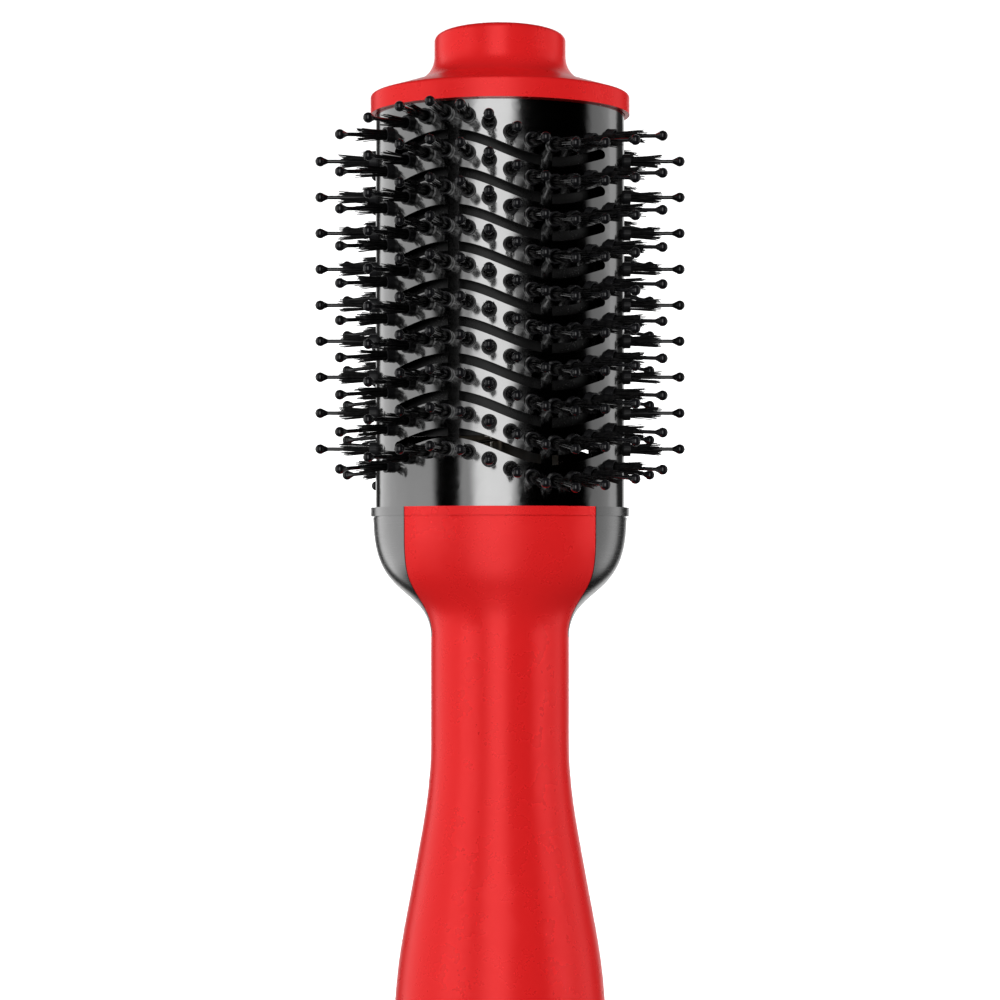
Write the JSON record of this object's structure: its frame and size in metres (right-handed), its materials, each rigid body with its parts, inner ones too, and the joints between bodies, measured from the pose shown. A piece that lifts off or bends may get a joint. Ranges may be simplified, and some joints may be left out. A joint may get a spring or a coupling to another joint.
{
  "type": "hot-air styling brush",
  "caption": "Hand-held hot-air styling brush: a red handle with a fan inside, an oval slotted metal barrel with ball-tipped pins in bristle tufts, and a red tip cap.",
  "frame": {"origin": "centre of the cord gland's lower end, on the axis of the handle and barrel", "axes": "+Z along the handle towards the tip cap, +X across the wide way of the oval barrel, -Y the front"},
  "size_m": [0.1072, 0.0848, 0.352],
  "materials": {
    "red_plastic": "satin moulded red",
    "gunmetal": "polished dark metal plating",
    "grey_plastic": "satin silver metallised",
    "black_plastic": "fine moulded grain",
    "carrier_plastic": "smooth black",
    "pin_nylon": "glossy black",
    "bristle": "bundled nylon filament",
    "white_mark": "printed dot",
    "white_plastic": "moulded",
    "mica": "flaked sheet",
    "heater_wire": "drawn wire",
    "ceramic": "glazed",
    "bright_steel": "zinc plated",
    "dark_steel": "laminated",
    "magnet": "sintered",
    "shield_sheet": "black lacquered mica laminate",
    "soft_rubber": "matt",
    "circuit_board": "lacquered",
    "yellow_plastic": "moulded",
    "lead_sleeve": "silicone sleeve",
    "filter_mesh": "fine woven mesh"
  },
  "bodies": {
    "handle": {"ball_pins": "pin_nylon", "barrel_base": "black_plastic", "barrel_screws": "bright_steel", "barrel_shell": "gunmetal", "barrel_top_plate": "black_plastic", "bristle_row_front_01": "carrier_plastic", "bristle_row_front_02": "carrier_plastic", "bristle_row_front_03": "carrier_plastic", "bristle_row_front_04": "carrier_plastic", "bristle_row_front_05": "carrier_plastic", "bristle_row_front_06": "carrier_plastic", "bristle_row_front_07": "carrier_plastic", "bristle_row_front_08": "carrier_plastic", "bristle_row_front_09": "carrier_plastic", "bristle_row_front_10": "carrier_plastic", "bristle_row_rear_01": "carrier_plastic", "bristle_row_rear_02": "carrier_plastic", "bristle_row_rear_03": "carrier_plastic", "bristle_row_rear_04": "carrier_plastic", "bristle_row_rear_05": "carrier_plastic", "bristle_row_rear_06": "carrier_plastic", "bristle_row_rear_07": "carrier_plastic", "bristle_row_rear_08": "carrier_plastic", "bristle_row_rear_09": "carrier_plastic", "bristle_row_rear_10": "carrier_plastic", "bristle_strip_left": "carrier_plastic", "bristle_strip_right": "carrier_plastic", "bristle_tufts": "bristle", "cord_hub": "black_plastic", "detent_ball": "bright_steel", "detent_spring": "bright_steel", "dial_retainer": "bright_steel", "fan_duct": "black_plastic", "handle_front_shell": "red_plastic", "handle_rear_shell": "red_plastic", "heat_shield": "shield_sheet", "heater_cutouts": "ceramic", "heating_coil": "heater_wire", "inlet_filter": "filter_mesh", "inlet_grille": "grey_plastic", "internal_leads": "lead_sleeve", "mica_boards": "mica", "motor_can": "bright_steel", "motor_damper": "soft_rubber", "motor_end_bell": "black_plastic", "motor_magnets": "magnet", "rectifier_board": "circuit_board", "shell_screws": "bright_steel", "side_trim_left": "grey_plastic", "side_trim_right": "grey_plastic", "suppression_capacitor": "yellow_plastic", "switch_body": "black_plastic", "tip_cap": "red_plastic"},
    "fan": {"impeller": "white_plastic", "motor_rotor": "dark_steel"},
    "dial": {"selector_dial": "red_plastic", "dial_marks": "white_mark", "switch_rotor": "black_plastic"},
    "swivel": {"swivel_bush": "soft_rubber", "swivel_clip": "bright_steel"}
  },
  "joints": [
    {"name": "fan_spin", "type": "hinge", "parent": "handle", "child": "fan", "pos_m": [0, 0, 0.0685], "axis": [0, 0, 1], "continuous": true},
    {"name": "dial_turn", "type": "hinge", "parent": "handle", "child": "dial", "pos_m": [0, 0, 0.023], "axis": [0, 0, 1], "range_deg": [0, 90]},
    {"name": "cord_swivel", "type": "hinge", "parent": "handle", "child": "swivel", "pos_m": [0, 0, 0.008], "axis": [0, 0, 1], "continuous": true}
  ]
}
